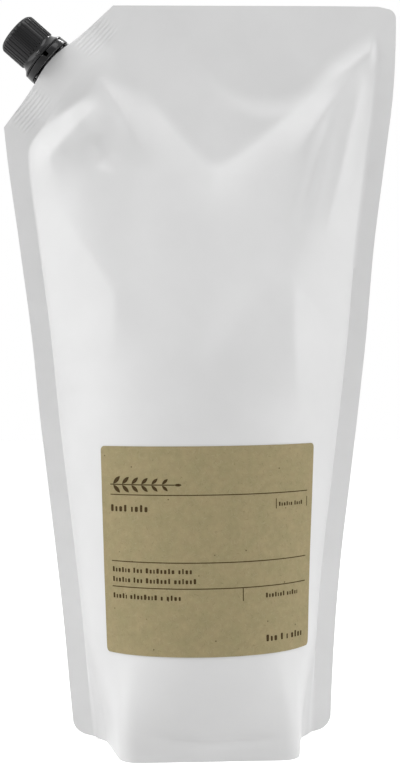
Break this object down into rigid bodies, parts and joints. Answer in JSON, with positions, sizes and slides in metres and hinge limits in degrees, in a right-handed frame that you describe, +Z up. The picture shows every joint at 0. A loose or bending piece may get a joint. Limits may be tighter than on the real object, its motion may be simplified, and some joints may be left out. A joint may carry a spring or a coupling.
{
  "type": "hand soap refill pack",
  "caption": "Filled stand-up refill pouch with heat-sealed edges, a paper label, a welded corner spout, a tamper band and a ribbed screw cap that turns and lifts on its thread.",
  "frame": {"origin": "on the pouch's midline, on the surface it stands on", "axes": "+Z up, the front with its label faces -Y, and the spout is on the cut corner at -X"},
  "size_m": [0.1579, 0.0853, 0.293],
  "materials": {
    "film": "matte laminated film with a soft sheen",
    "kraft_paper": "uncoated recycled kraft paper with dark fibres",
    "black_plastic": "moulded gloss",
    "sealing_foam": "matte foam"
  },
  "bodies": {
    "pouch": {"film_pouch": "film", "paper_label": "kraft_paper", "spout": "black_plastic", "tamper_band": "black_plastic"},
    "seal": {"cap_disc": "sealing_foam"},
    "cap": {"screw_cap": "black_plastic"}
  },
  "joints": [
    {"name": "cap_lift", "type": "slide", "parent": "pouch", "child": "seal", "axis": [-0.7547, 0, 0.6561], "range_m": [0, 0.006]},
    {"name": "cap_turn", "type": "hinge", "parent": "seal", "child": "cap", "pos_m": [-0.0582, 0, 0.268], "axis": [-0.7547, 0, 0.6561], "range_deg": [0, 720]}
  ],
  "couplings": [
    {"joint": "cap_lift", "follows": "cap_turn", "m_per_rad": 0.00047746}
  ]
}
